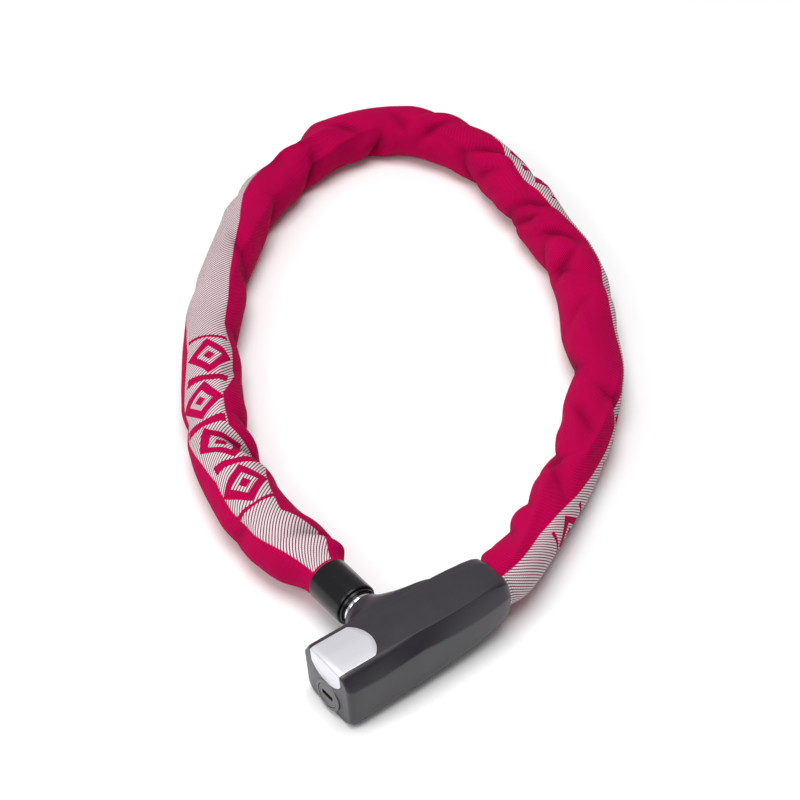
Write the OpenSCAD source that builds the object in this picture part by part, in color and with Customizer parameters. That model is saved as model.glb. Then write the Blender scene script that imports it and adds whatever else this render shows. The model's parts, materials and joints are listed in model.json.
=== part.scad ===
// Chain lock: a T-shaped lock body with a keyed cylinder, a round bolt on a
// fabric-sleeved chain, and the chain's other end anchored in the body.
// +X runs along the body from the key face to the chain mouth, +Y the way the
// bolt pulls out, +Z up. The origin is the middle of the body's flat underside.

/* [Lock body] */
// Length of the plastic body, key face to chain mouth
body_l = 105; // [102:1:126]
// Width of the body across its straight sides
body_w = 36; // [35:1:44]
// Height of the body
body_h = 36; // [35:1:44]
// Wall of the plastic cover over the metal case
cover_wall = 2.2; // [1.6:0.1:2.6]
// Height of the seam between the upper and the lower cover
seam_z = 4; // [3.4:0.1:5]

/* [Bolt] */
// Diameter of the bolt shaft
bolt_d = 12; // [10:0.5:14]
// How far the shaft reaches into the body from the bolt port
bolt_reach = 38; // [35:0.5:39]
// Outer diameter of the plastic ferrule on the bolt
ferrule_d = 23.6; // [22.6:0.2:27]
// Length of the ferrule
ferrule_l = 25.4; // [24:0.2:32]

/* [Cylinder] */
// Diameter of the ring round the keyhole
key_ring_d = 18; // [17:0.5:19]
// Diameter of the turning barrel
barrel_d = 14; // [12:0.5:14.5]
// Number of detainer discs in the barrel
disc_count = 8; // [5:1:8]
// Thickness of a detainer disc
disc_t = 2; // [1.2:0.1:2.2]

/* [Chain] */
// Bar diameter of a chain link
bar_d = 6; // [4:0.5:6]
// Inside length of a link
link_inner_l = 24; // [22:1:30]
// Inside width of a link
link_inner_w = 8.4; // [7.6:0.2:8.6]

/* [Sleeve] */
// Width of the fabric sleeve where it lies loose
sleeve_w = 33; // [30:1:38]
// Height of the fabric sleeve where it lies loose
sleeve_h = 31; // [29:1:31]
// Thickness of the fabric
sleeve_t = 1.2; // [0.8:0.1:1.6]

/* [Hidden] */

// Fits
run_gap = 0.06;      // running fit, each side
seat_gap = 0.05;     // pieces that sit in each other
eps = 0.01;

// Lock body outline, measured from the key face's foot
key_x = -body_l / 2;
lean = 3;            // how far the key face's top stands forward of its foot
foot_x = key_x + lean;
end_x = body_l / 2;
side_y = body_w / 2;
top_y = side_y - 6;  // half width of the flat top
shoulder_z = body_h - 9;

// Badge on the top and the key face
badge_y = top_y - 0.4;
badge_t = 1.2;
badge_end_x = foot_x + 25;
badge_arc_r = 14.2;
badge_low_z = body_h - 15.6;
badge_low_r = 13;

// Bolt and its port
bolt_x = foot_x + 40.5;
bolt_z = body_h / 2 + 1.5;
port_y = side_y + 9.5;
port_r = 10.9;
port_wall = 1.9;
nose_r = port_r - port_wall;
bolt_r = bolt_d / 2;
tip_y = port_y - bolt_reach;
collar_r = 9.3;
collar_y = port_y + 0.4;
collar_t = 2.7;
ferrule_y = collar_y + collar_t;
ferrule_r = ferrule_d / 2;
ferrule_end_y = ferrule_y + ferrule_l;
o_ring_y = side_y - 3;

// Latch and the groove it enters
latch_w = 9;
latch_t = 6;
groove_r = bolt_r - 2.6;
latch_rest_z = bolt_z - bolt_r - 0.6;

// Keyed cylinder
key_z = 11.4;
ring_r = key_ring_d / 2;
barrel_r = barrel_d / 2;
shell_r = barrel_r + 1.2;
ring_front_x = foot_x - 1.9;
ring_back_x = foot_x + 1.4;
barrel_front_x = ring_front_x + 0.5;
disc_r = barrel_r - 1.9;
disc_pitch = disc_t + 0.6;
disc_start_x = barrel_front_x + 2.4;
disc_end_x = disc_start_x + disc_count * disc_pitch;
barrel_back_x = disc_end_x + 2.6;
shell_back_x = barrel_back_x + 0.4;
shell_pin_r = 1.25;
shell_mid_x = shell_back_x - 5;
cam_t = 2;
cam_x = barrel_back_x;
cam_r = barrel_r - 1;
pin_r = 1.2;
pin_orbit = 2.2;
pin_swing = 45;
keyway_w = 8.2;
keyway_h = 2.8;
latch_x = bolt_x;
yoke_x = cam_x + cam_t + 0.5;
yoke_t = 2;
pin_back_x = yoke_x + yoke_t + 0.4;
pin_rest_z = key_z - pin_orbit * sin(pin_swing);
yoke_top_z = min(key_z + 1.5, latch_rest_z);

// Metal case
case_front_x = ring_back_x + 1.6;
case_back_x = bolt_x + 23;
case_floor_z = 2.2;
case_y = side_y - cover_wall - 1.4;
case_top_z = body_h - cover_wall - 3.8;
nose_end_y = port_y - 2;
seal_t = 1.7;
latch_foot_z = case_floor_z + 1.4;

// Cover screws
screw_r = 1.5;
screw_y = side_y - 7.6;
screw_spots = [[foot_x + 13.5, -screw_y], [foot_x + 13.5, screw_y],
               [case_back_x - 6, -screw_y], [case_back_x - 6, screw_y]];
screw_head_z = 0.9;
screw_tip_z = 10;

// Chain mouth and anchor
mouth_r = 13.3;
mouth_z = bolt_z + 1;
anchor_x = case_back_x + 9;
anchor_r = 2.5;
link_r = bar_d / 2;
ear_gap = bar_d + 0.8;
ear_t = 3.4;
ear_w = 14;
clamp_x = case_back_x + 18;

// Bolt tail inside the ferrule
tail_t = 3.6;
shackle_pin_y = ferrule_end_y - 9;
tail_r = ferrule_r - 1.4;
ferrule_bore_r = ferrule_r - 1.2;

// Route of the sleeve from the ferrule to the chain mouth
lie_z = sleeve_h / 2 + 0.2;
route = [[bolt_x, ferrule_end_y, bolt_z], [bolt_x, 74, bolt_z - 0.7], [bolt_x - 1, 100, 16.6],
         [-7, 130, lie_z], [1, 159, lie_z], [13, 185, lie_z], [29, 212, lie_z], [48, 240, lie_z],
         [70, 266, lie_z], [94, 290, lie_z], [122, 313, lie_z], [151, 332, lie_z], [184, 344, lie_z],
         [218, 348, lie_z], [248, 338, lie_z], [268, 312, lie_z], [275, 280, lie_z], [271, 247, lie_z],
         [264, 214, lie_z], [255, 181, lie_z], [241, 150, lie_z], [221, 120, lie_z], [200, 92, lie_z],
         [175, 67, lie_z], [148, 47, lie_z], [end_x + 66, 30, 16.5], [end_x + 36, 14, mouth_z - 2.5],
         [end_x + 15.5, 4, mouth_z - 0.5], [end_x, 0, mouth_z], [clamp_x, 0, mouth_z]];

// ---------- helper functions ----------

function mix(a, b, t) = a + (b - a) * t;

// Point on a smooth curve through p1 and p2
function curve_point(p0, p1, p2, p3, t) =
    0.5 * (2 * p1 + (p2 - p0) * t + (2 * p0 - 5 * p1 + 4 * p2 - p3) * t * t
           + (3 * p1 - p0 - 3 * p2 + p3) * t * t * t);

// A list of points refined into steps pieces between neighbours
function refine(p, steps) = concat(
    [for (i = [0:len(p) - 2]) for (k = [0:steps - 1])
        curve_point(p[max(i - 1, 0)], p[i], p[i + 1], p[min(i + 2, len(p) - 1)], k / steps)],
    [p[len(p) - 1]]);

// Running length at each point of a line
function run_lengths(p, i = 0, s = 0, out = []) =
    i == len(p) ? out :
    let (s2 = i == 0 ? 0 : s + norm(p[i] - p[i - 1])) run_lengths(p, i + 1, s2, concat(out, [s2]));

// Index of the stretch that holds the length s
function stretch_at(runs, s, i = 0) = i >= len(runs) - 2 || runs[i + 1] > s ? i : stretch_at(runs, s, i + 1);

// Point at the length s
function point_at(p, runs, s) =
    let (i = stretch_at(runs, s), t = (s - runs[i]) / (runs[i + 1] - runs[i])) mix(p[i], p[i + 1], t);

function unit(v) = v / norm(v);

// Direction of travel at the length s
function heading_at(p, runs, s, reach = 3) =
    let (last = runs[len(runs) - 1])
    unit(point_at(p, runs, min(s + reach, last)) - point_at(p, runs, max(s - reach, 0)));

// Faces of a skin over equal rings, closed at both ends
function skin_faces(rings, n) = concat(
    [for (i = [0:rings - 2]) for (k = [0:n - 1])
        each [[i * n + k, i * n + (k + 1) % n, (i + 1) * n + (k + 1) % n],
              [i * n + k, (i + 1) * n + (k + 1) % n, (i + 1) * n + k]]],
    [[for (k = [n - 1:-1:0]) k]],
    [[for (k = [0:n - 1]) (rings - 1) * n + k]]);

module skin(rings) {
    polyhedron(points = [for (ring = rings) for (p = ring) p], faces = skin_faces(len(rings), len(rings[0])));
}

// ---------- lock body outline ----------

// One cross-section: distance from the foot, half width, half top, top, shoulder, corner, lift, lean
function body_section(s) =
    let (x = s[0], w = s[1], tw = s[2], zt = s[3], zc = s[4], rb = s[5], zb = s[6], ln = s[7],
         side = concat([[tw, zt], [w, zc]],
                       [for (a = [0:22.5:90]) [w - rb + rb * cos(a), zb + rb - rb * sin(a)]]),
         other = [for (i = [len(side) - 1:-1:0]) [-side[i][0], side[i][1]]])
    [for (p = concat(side, other)) [foot_x + x - ln * p[1] / body_h, p[0], p[1]]];

body_stations = [
    [0, side_y - 2.8, top_y - 0.2, body_h, shoulder_z + 2.6, 7, 2.2, lean],
    [3, side_y, top_y, body_h, shoulder_z + 0.3, 8.5, 0, lean],
    [19, side_y, top_y, body_h, shoulder_z - 0.5, 8.5, 0, 0],
    [43, side_y + 0.2, top_y - 0.2, body_h, shoulder_z + 1.6, 9, 0, 0],
    [54, side_y, top_y + 0.3, body_h, shoulder_z - 0.2, 9.5, 0, 0],
    [body_l - 37, side_y - 0.4, top_y + 0.5, body_h, shoulder_z - 1.2, 10.5, 0.3, 0],
    [body_l - 24, side_y - 1.1, top_y, body_h, shoulder_z - 1.4, 11.5, 1, 0],
    [body_l - 14, side_y - 1.9, top_y - 0.7, body_h - 0.2, shoulder_z - 1.4, 12, 2.6, 0],
    [body_l - 6, side_y - 2.8, top_y - 1.7, body_h - 0.8, shoulder_z - 1, 12, 5, 0],
    [body_l - 3, side_y - 3.6, top_y - 2.6, body_h - 1.4, shoulder_z - 0.8, 11.6, 6.4, 0]];

// Bolt port: a round neck that flares into the body's side, trimmed to the body's height
flare_r = 10;
flare_y = side_y - 0.4;
flare_side = [for (a = [0:15:90]) [port_r + flare_r * (1 - cos(a)), mix(port_y, flare_y, sin(a))]];
module port_outline() {
    translate([bolt_x, 0, bolt_z]) intersection() {
        rotate([-90, 0, 0]) rotate_extrude($fn = 72)
            polygon(concat([[0, port_y]], flare_side, [[port_r + flare_r, 4], [0, 4]]));
        translate([-40, 0, -bolt_z]) rotate([90, 0, 90]) linear_extrude(80)
            polygon([[0, 2.5], [side_y - 6, 2.5], [side_y - 2, 6], [side_y + 4, bolt_z - port_r - 0.9],
                     [port_y + 1, bolt_z - port_r - 0.3], [port_y + 1, bolt_z + port_r + 0.3],
                     [side_y + 4, body_h - 2.9], [top_y + 1.5, body_h - 0.8], [0, body_h - 0.8]]);
    }
}

module body_outline() {
    skin([for (s = body_stations) body_section(s)]);
    port_outline();
}

// A cylinder along X, and one along Y
module x_rod(x0, x1, r) {
    translate([x0, 0, 0]) rotate([0, 90, 0]) cylinder(h = x1 - x0, r = r, $fn = 48);
}
module y_rod(y0, y1, r) {
    translate([0, y0, 0]) rotate([-90, 0, 0]) cylinder(h = y1 - y0, r = r, $fn = 48);
}
module y_cone(y0, y1, r0, r1) {
    translate([0, y0, 0]) rotate([-90, 0, 0]) cylinder(h = y1 - y0, r1 = r0, r2 = r1, $fn = 48);
}

// Block of the case, grown all round by g
module case_block(g) {
    lo = case_floor_z - g;
    hi = case_top_z + g;
    w = case_y + g;
    translate([case_front_x - g, 0, 0]) rotate([90, 0, 90])
        linear_extrude(case_back_x - case_front_x + 2 * g)
            polygon([[-w + 2, lo], [w - 2, lo], [w, lo + 2.4], [w, hi - 5], [w - 4.4, hi],
                     [4.4 - w, hi], [-w, hi - 5], [-w, lo + 2.4]]);
}

// The space that the covers leave for the metal parts
module cover_hollow() {
    case_block(0.1);
    translate([bolt_x, 0, bolt_z]) y_rod(0, nose_end_y + 0.1, nose_r + 0.1);
    translate([bolt_x, 0, bolt_z]) y_rod(nose_end_y, port_y + 1, nose_r);
    translate([0, 0, mouth_z]) x_rod(case_back_x - 1, end_x + 1, mouth_r);
    translate([0, 0, key_z]) x_rod(foot_x - 6, case_front_x + 1, ring_r + seat_gap);
}

// Points of an arc of radius r that spans from -half to half
function arc_points(r, half) = [for (i = [-4:4]) let (a = asin(half / r) * i / 4) [r * cos(a), r * sin(a)]];

// Badge: a bent plate over the top and the key face, grown by g
module badge_region(g) {
    w = badge_y + g;
    top_x = badge_end_x - badge_arc_r;
    low_z = badge_low_z + badge_low_r;
    in_x = foot_x + badge_t + g;
    in_z = body_h - badge_t - g;
    intersection() {
        rotate([90, 0, 0]) translate([0, 0, -20]) linear_extrude(40)
            polygon([[key_x - 5, 0], [in_x, 0], [in_x - lean * in_z / body_h, in_z], [badge_end_x + 5, in_z],
                     [badge_end_x + 5, body_h + 4], [key_x - 5, body_h + 4]]);
        linear_extrude(body_h + 6)
            polygon(concat([[key_x - 8, w], [key_x - 8, -w]],
                           [for (p = arc_points(badge_arc_r + g, w)) [top_x + p[0], p[1]]]));
        translate([key_x - 10, 0, 0]) rotate([90, 0, 90]) linear_extrude(60)
            polygon(concat([[badge_low_r - 0.4, body_h + 8], [0.4 - badge_low_r, body_h + 8]],
                           [for (p = arc_points(badge_low_r + g, badge_low_r - 0.4)) [p[1], low_z - p[0]]]));
    }
}

// Screws that hold the lower cover
module at_screws() {
    for (p = screw_spots) translate([p[0], p[1], 0]) children();
}

// ---------- body pieces ----------

module upper_cover() {
    color([0.16, 0.15, 0.17]) difference() {
        body_outline();
        translate([key_x - 10, -60, -5]) cube([body_l + 20, 120, 5 + seam_z]);
        cover_hollow();
        badge_region(0.1);
    }
}

module lower_cover() {
    color([0.14, 0.13, 0.15]) difference() {
        intersection() {
            body_outline();
            translate([key_x - 10, -60, -5]) cube([body_l + 20, 120, 5 + seam_z]);
        }
        cover_hollow();
        at_screws() {
            translate([0, 0, -1]) cylinder(h = 6, r = screw_r + 0.1, $fn = 32);
            translate([0, 0, -1]) cylinder(h = 1 + screw_head_z, r = 3, $fn = 32);
            translate([0, 0, screw_head_z - eps])
                cylinder(h = 1.3, r1 = 2.85, r2 = screw_r + 0.1, $fn = 32);
        }
    }
}

module silver_badge() {
    color([0.82, 0.82, 0.85]) intersection() {
        body_outline();
        badge_region(0);
    }
}

module cover_screws() {
    color([0.55, 0.56, 0.58]) at_screws() difference() {
        union() {
            translate([0, 0, screw_head_z]) cylinder(h = 1.2, r1 = 2.75, r2 = screw_r, $fn = 32);
            translate([0, 0, screw_head_z + 1.2])
                cylinder(h = screw_tip_z - screw_head_z - 1.2, r = screw_r, $fn = 32);
        }
        translate([-1.8, -0.35, screw_head_z - 1]) cube([3.6, 0.7, 1.8]);
        translate([-0.35, -1.8, screw_head_z - 1]) cube([0.7, 3.6, 1.8]);
    }
}

module lock_case() {
    color([0.62, 0.63, 0.65]) difference() {
        union() {
            case_block(0);
            translate([bolt_x, 0, bolt_z]) y_rod(0, nose_end_y, nose_r);
            anchor_ears();
        }
        translate([bolt_x, 0, bolt_z]) y_rod(tip_y - 1, nose_end_y + 1, bolt_r + run_gap);
        translate([bolt_x, 0, bolt_z]) y_rod(nose_end_y - seal_t, nose_end_y + 1, bolt_r + 1.9);
        translate([0, 0, key_z]) x_rod(case_front_x - 1, shell_back_x + seat_gap, shell_r + seat_gap);
        translate([0, 0, key_z]) x_rod(shell_back_x, pin_back_x + 0.4, cam_r + 0.5);
        latch_channel();
        translate([0, 0, case_floor_z - 1]) linear_extrude(2) floor_plate_outline(0.1);
        at_screws() cylinder(h = screw_tip_z + 1, r = screw_r, $fn = 32);
        translate([shell_mid_x, 0, case_floor_z - 1]) cylinder(h = 4, r = shell_pin_r, $fn = 24);
        translate([anchor_x, 0, mouth_z - 9]) cylinder(h = 18, r = anchor_r + 0.02, $fn = 32);
    }
}

// Two ears behind the case that hold the chain's last link
module anchor_ears() {
    for (side = [-1, 1]) translate([case_back_x - 1, 0, mouth_z + side * (ear_gap + ear_t) / 2]) {
        translate([0, -ear_w / 2, -ear_t / 2]) cube([anchor_x - case_back_x + 1, ear_w, ear_t]);
        translate([anchor_x - case_back_x + 1, 0, -ear_t / 2])
            cylinder(h = ear_t, r = ear_w / 2 - 1.2, $fn = 48);
    }
}

// Channel under the bolt for the latch, open downwards for assembly
module latch_channel() {
    translate([latch_x - latch_w / 2 - run_gap, -latch_t / 2 - run_gap, case_floor_z - 1])
        cube([latch_w + 2 * run_gap, latch_t + 2 * run_gap, bolt_z - case_floor_z + 1]);
    translate([yoke_x - 0.3, -6.4, case_floor_z - 1])
        cube([latch_x - yoke_x, 12.8, key_z + 7.4 - case_floor_z + 1]);
}

module floor_plate_outline(g) {
    x0 = yoke_x - 2.5 - g;
    x1 = latch_x + latch_w / 2 + 2 + g;
    translate([x0, -8 - g]) square([x1 - x0, 16 + 2 * g]);
}

module case_floor_plate() {
    color([0.7, 0.7, 0.72]) translate([0, 0, case_floor_z]) linear_extrude(0.9) floor_plate_outline(0);
}

module cylinder_shell() {
    color([0.75, 0.7, 0.55]) difference() {
        translate([0, 0, key_z]) x_rod(ring_back_x, shell_back_x, shell_r);
        translate([0, 0, key_z]) x_rod(ring_back_x - 1, shell_back_x + 1, barrel_r + run_gap);
        translate([shell_mid_x, 0, key_z - shell_r - 1]) cylinder(h = 2.6, r = shell_pin_r, $fn = 24);
    }
}

module cylinder_pin() {
    color([0.6, 0.6, 0.62]) translate([shell_mid_x, 0, case_floor_z + 0.1])
        cylinder(h = key_z - barrel_r - 0.3 - case_floor_z, r = shell_pin_r, $fn = 24);
}

module keyhole_ring() {
    color([0.5, 0.5, 0.52]) translate([0, 0, key_z]) difference() {
        union() {
            x_rod(ring_front_x + 0.4, ring_back_x, ring_r);
            translate([ring_front_x, 0, 0]) rotate([0, 90, 0])
                cylinder(h = 0.4, r1 = ring_r - 0.4, r2 = ring_r, $fn = 48);
        }
        x_rod(ring_front_x - 1, ring_back_x + 1, barrel_r + run_gap);
    }
}

// ---------- turning barrel ----------

module keyway(x0, x1) {
    translate([x0, -keyway_w / 2, key_z - keyway_h / 2]) cube([x1 - x0, keyway_w, keyway_h]);
}

module barrel() {
    color([0.72, 0.66, 0.5]) difference() {
        translate([0, 0, key_z]) x_rod(barrel_front_x, barrel_back_x, barrel_r);
        translate([0, 0, key_z]) x_rod(disc_start_x, disc_end_x, disc_r + run_gap);
        keyway(barrel_front_x - 1, disc_start_x + 1);
        translate([disc_start_x, -1, key_z + disc_r - 1.5]) cube([disc_end_x - disc_start_x, 2, barrel_r]);
    }
}

module detainer_discs() {
    color([0.8, 0.74, 0.5]) for (i = [0:disc_count - 1]) difference() {
        translate([disc_start_x + 0.05 + i * disc_pitch, 0, key_z]) x_rod(0, disc_t, disc_r);
        keyway(disc_start_x - 1, disc_end_x + 1);
        translate([disc_start_x, -1, key_z + disc_r - 1.2]) cube([disc_end_x - disc_start_x, 2, barrel_r]);
    }
}

module disc_spacers() {
    color([0.6, 0.6, 0.62]) for (i = [0:disc_count - 1]) difference() {
        translate([disc_start_x + disc_t + 0.1 + i * disc_pitch, 0, key_z]) x_rod(0, 0.45, disc_r);
        keyway(disc_start_x - 1, disc_end_x + 1);
        translate([disc_start_x, -1, key_z + disc_r - 1.2]) cube([disc_end_x - disc_start_x, 2, barrel_r]);
    }
}

// Bar in the barrel's slot that drops into the discs' gates
module sidebar() {
    color([0.66, 0.67, 0.7]) translate([disc_start_x + 0.3, -0.9, key_z + disc_r - 1.1])
        cube([disc_end_x - disc_start_x - 0.6, 1.8, barrel_r - disc_r + 0.8]);
}

// Front disc with the visible keyway
module barrel_cap() {
    color([0.36, 0.36, 0.38]) difference() {
        translate([0, 0, key_z]) x_rod(ring_front_x + 0.1, barrel_front_x, barrel_r - 0.2);
        keyway(ring_front_x - 1, barrel_front_x + 1);
    }
}

module driver_cam() {
    color([0.66, 0.67, 0.7]) translate([0, 0, key_z]) {
        x_rod(cam_x, cam_x + cam_t, cam_r);
        translate([0, -pin_orbit * cos(pin_swing), -pin_orbit * sin(pin_swing)])
            x_rod(cam_x + cam_t - eps, pin_back_x, pin_r);
    }
}

// ---------- latch ----------

module latch_block() {
    slot_h = pin_r + 0.25;
    color([0.75, 0.76, 0.78]) difference() {
        union() {
            translate([latch_x - latch_w / 2, -latch_t / 2, latch_foot_z])
                cube([latch_w, latch_t, latch_rest_z - latch_foot_z]);
            translate([yoke_x, -latch_t / 2, latch_foot_z])
                cube([latch_x - yoke_x, latch_t, yoke_top_z - latch_foot_z]);
        }
        translate([yoke_x - 1, -latch_t / 2 - 1, pin_rest_z - slot_h])
            cube([pin_back_x - yoke_x + 1.4, latch_t + 2, 2 * slot_h]);
    }
}
// ---------- chain ----------

chain_route = concat([[bolt_x, shackle_pin_y, bolt_z]], route, [[anchor_x, 0, mouth_z]]);
chain_line = refine(chain_route, 6);
chain_runs = run_lengths(chain_line);
chain_l = chain_runs[len(chain_runs) - 1];
end_reach = link_inner_l / 2 - anchor_r - 0.1;
flat_max = link_inner_l / 2 - link_r - 0.5;
upright_half = link_inner_l / 2 + link_r;
link_pairs = ceil((chain_l - 2 * end_reach) / (2 * (upright_half + flat_max)));
flat_half = (chain_l - 2 * end_reach) / link_pairs / 2 - upright_half;
link_count = 2 * link_pairs + 1;
bolt_links = link_pairs;

// A chain link lying in the XY plane along X
module link() {
    straight = link_inner_l - link_inner_w;
    bend_r = link_inner_w / 2 + link_r;
    for (side = [-1, 1]) {
        translate([side * straight / 2, 0, 0]) rotate([0, 0, side * 90 - 180])
            rotate_extrude(angle = 180, $fn = 48) translate([bend_r, 0]) circle(r = link_r, $fn = 32);
        translate([0, side * bend_r, 0]) x_rod(-straight / 2 - eps, straight / 2 + eps, link_r);
    }
}

// Link number i: flat and upright links take turns, and each turns about the upright link's end bars
module placed_link(i) {
    upright = i % 2;
    s = end_reach + floor(i / 2) * 2 * (flat_half + upright_half) + upright * (flat_half + upright_half);
    back = i == 0 ? end_reach : upright ? upright_half : flat_half;
    ahead = i == link_count - 1 ? end_reach : upright ? upright_half : flat_half;
    a = point_at(chain_line, chain_runs, s - back);
    b = point_at(chain_line, chain_runs, s + ahead);
    d = unit(b - a);
    translate(mix(a, b, back / (back + ahead))) rotate([0, -asin(d[2]), atan2(d[1], d[0])])
        rotate([upright * 90, 0, 0]) link();
}

module bolt_chain_links() {
    color([0.6, 0.61, 0.63]) for (i = [0:bolt_links - 1]) placed_link(i);
}

module anchored_chain_links() {
    color([0.6, 0.61, 0.63]) for (i = [bolt_links:link_count - 1]) placed_link(i);
}

module chain_anchor_pin() {
    color([0.7, 0.7, 0.72]) translate([anchor_x, 0, mouth_z - ear_gap / 2 - ear_t])
        cylinder(h = ear_gap + 2 * ear_t, r = anchor_r, $fn = 32);
}

// ---------- sleeve ----------

sleeve_sides = 12;
ring_step = 19;
sleeve_line = refine(route, 6);
sleeve_runs = run_lengths(sleeve_line);
sleeve_l = sleeve_runs[len(sleeve_runs) - 1];
ring_count = round(sleeve_l / ring_step);
neck_r = ferrule_r - 0.05;
mouth_sleeve_r = mouth_r - 0.9;

// Smooth rise from 0 to 1
function ease(t) = let (u = min(max(t, 0), 1)) u * u * (3 - 2 * u);

// Half width and half height of the sleeve at the length s
function sleeve_half(s) =
    let (a = ease(s / 34), b = ease((sleeve_l - s - (end_x - clamp_x)) / 30),
         w = mix(neck_r, sleeve_w / 2, a), h = mix(neck_r, sleeve_h / 2, a))
    [mix(mouth_sleeve_r, w, b), mix(mouth_sleeve_r, h, b)];

// Direction at a ring: square to the ferrule and to the mouth at the ends
function ring_heading(s) =
    s < 1 ? [0, 1, 0] :
    s > sleeve_l - (end_x - clamp_x) - 1 ? [-1, 0, 0] : heading_at(sleeve_line, sleeve_runs, s, 6);

function sleeve_ring(s, shrink) =
    let (c = point_at(sleeve_line, sleeve_runs, s), d = ring_heading(s),
         across = unit(cross(d, [0, 0, 1])), up = cross(across, d), h = sleeve_half(s))
    [for (k = [0:sleeve_sides - 1])
        let (a = 360 * k / sleeve_sides)
        c + across * (h[0] - shrink) * cos(a) + up * (h[1] - shrink) * sin(a)];

function sleeve_rings(shrink) = [for (i = [0:ring_count]) sleeve_ring(sleeve_l * i / ring_count, shrink)];

// Faces of a tube with a wall: outer skin, inner skin and two end rims
function tube_faces(rings, n) =
    let (m = rings * n, e = (rings - 1) * n)
    concat(
        [for (i = [0:rings - 2]) for (k = [0:n - 1])
            each [[i * n + k, i * n + (k + 1) % n, (i + 1) * n + (k + 1) % n],
                  [i * n + k, (i + 1) * n + (k + 1) % n, (i + 1) * n + k],
                  [m + i * n + k, m + (i + 1) * n + (k + 1) % n, m + i * n + (k + 1) % n],
                  [m + i * n + k, m + (i + 1) * n + k, m + (i + 1) * n + (k + 1) % n]]],
        [for (k = [0:n - 1])
            each [[k, m + (k + 1) % n, (k + 1) % n], [k, m + k, m + (k + 1) % n],
                  [e + k, e + (k + 1) % n, m + e + (k + 1) % n], [e + k, m + e + (k + 1) % n, m + e + k]]]);

module chain_sleeve() {
    outer = sleeve_rings(0);
    inner = sleeve_rings(sleeve_t);
    color([0.75, 0.02, 0.27]) polyhedron(
        points = concat([for (ring = outer) for (p = ring) p], [for (ring = inner) for (p = ring) p]),
        faces = tube_faces(ring_count + 1, sleeve_sides));
}

module sleeve_clamp_ring() {
    color([0.68, 0.69, 0.71]) translate([0, 0, mouth_z]) difference() {
        x_rod(clamp_x + 3, clamp_x + 8, mouth_r - 0.1);
        x_rod(clamp_x + 2, clamp_x + 9, mouth_sleeve_r + 0.1);
    }
}

module port_seal() {
    color([0.08, 0.08, 0.09]) translate([bolt_x, 0, bolt_z]) difference() {
        y_rod(nose_end_y - seal_t, nose_end_y + 1.5, bolt_r + 1.85);
        y_rod(nose_end_y - 3, nose_end_y + 3, bolt_r + 0.15);
    }
}

// ---------- bolt ----------

module lock_bolt() {
    color([0.78, 0.79, 0.81]) difference() {
        translate([bolt_x, 0, bolt_z]) union() {
            y_cone(tip_y, tip_y + 1.6, bolt_r - 1.6, bolt_r);
            y_rod(tip_y + 1.6 - eps, ferrule_y + 2, bolt_r);
            y_rod(ferrule_y + 2 - eps, ferrule_y + 2 + tail_t, tail_r);
            for (side = [-1, 1]) translate([0, 0, side * (ear_gap / 2 + 1.3)]) {
                translate([-5, ferrule_y + 2, -1.3]) cube([10, shackle_pin_y - ferrule_y - 2, 2.6]);
                translate([0, shackle_pin_y, -1.3]) cylinder(h = 2.6, r = 5, $fn = 48);
            }
        }
        translate([bolt_x, 0, bolt_z]) difference() {
            y_rod(-latch_t / 2 - 0.3, latch_t / 2 + 0.3, bolt_r + 1);
            y_rod(-latch_t / 2 - 1, latch_t / 2 + 1, groove_r);
        }
        translate([bolt_x, 0, bolt_z]) difference() {
            y_rod(o_ring_y - 0.9, o_ring_y + 0.9, bolt_r + 1);
            y_rod(o_ring_y - 2, o_ring_y + 2, bolt_r - 1.2);
        }
        translate([bolt_x, shackle_pin_y, bolt_z - 12]) cylinder(h = 24, r = anchor_r + 0.02, $fn = 32);
        at_ferrule_screws() translate([0, 0, -0.1]) cylinder(h = 6, r = 1, $fn = 24);
    }
}

module bolt_o_ring() {
    color([0.06, 0.06, 0.07]) translate([bolt_x, o_ring_y, bolt_z]) rotate([-90, 0, 0])
        rotate_extrude($fn = 48) translate([bolt_r - 0.6, 0]) circle(r = 0.6, $fn = 24);
}

module bolt_collar() {
    color([0.86, 0.86, 0.88]) translate([bolt_x, 0, bolt_z]) difference() {
        union() {
            y_rod(collar_y, collar_y + collar_t - 0.7, collar_r);
            y_cone(collar_y + collar_t - 0.7 - eps, ferrule_y, collar_r, collar_r - 0.7);
        }
        y_rod(collar_y - 1, ferrule_y + 1, bolt_r + 0.02);
    }
}

module ferrule() {
    color([0.1, 0.1, 0.11]) difference() {
        translate([bolt_x, 0, bolt_z]) union() {
            y_cone(ferrule_y, ferrule_y + 0.9, ferrule_r - 1.4, ferrule_r - 0.9);
            y_rod(ferrule_y + 0.9 - eps, ferrule_y + 1.6, ferrule_r - 0.9);
            y_rod(ferrule_y + 1.6 - eps, ferrule_end_y, ferrule_r);
        }
        translate([bolt_x, 0, bolt_z]) y_rod(ferrule_y - 1, ferrule_end_y + 1, bolt_r + 0.05);
        translate([bolt_x, 0, bolt_z]) y_rod(ferrule_y + 2 - seat_gap, ferrule_end_y + 1, ferrule_bore_r);
        at_ferrule_screws() cylinder(h = 6, r = 1, $fn = 24);
    }
}

// Two grub screws that hold the ferrule to the bolt's tail disc
module at_ferrule_screws() {
    for (side = [0, 180]) translate([bolt_x, ferrule_y + 2 + tail_t / 2, bolt_z])
        rotate([0, 90 + side, 0]) translate([0, 0, ferrule_r - 3]) children();
}

module ferrule_screws() {
    color([0.4, 0.4, 0.42]) at_ferrule_screws() cylinder(h = 2.6, r = 1, $fn = 24);
}

module bolt_link_pin() {
    color([0.7, 0.7, 0.72]) translate([bolt_x, shackle_pin_y, bolt_z - ear_gap / 2 - 2.6])
        cylinder(h = ear_gap + 5.2, r = anchor_r, $fn = 32);
}

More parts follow.
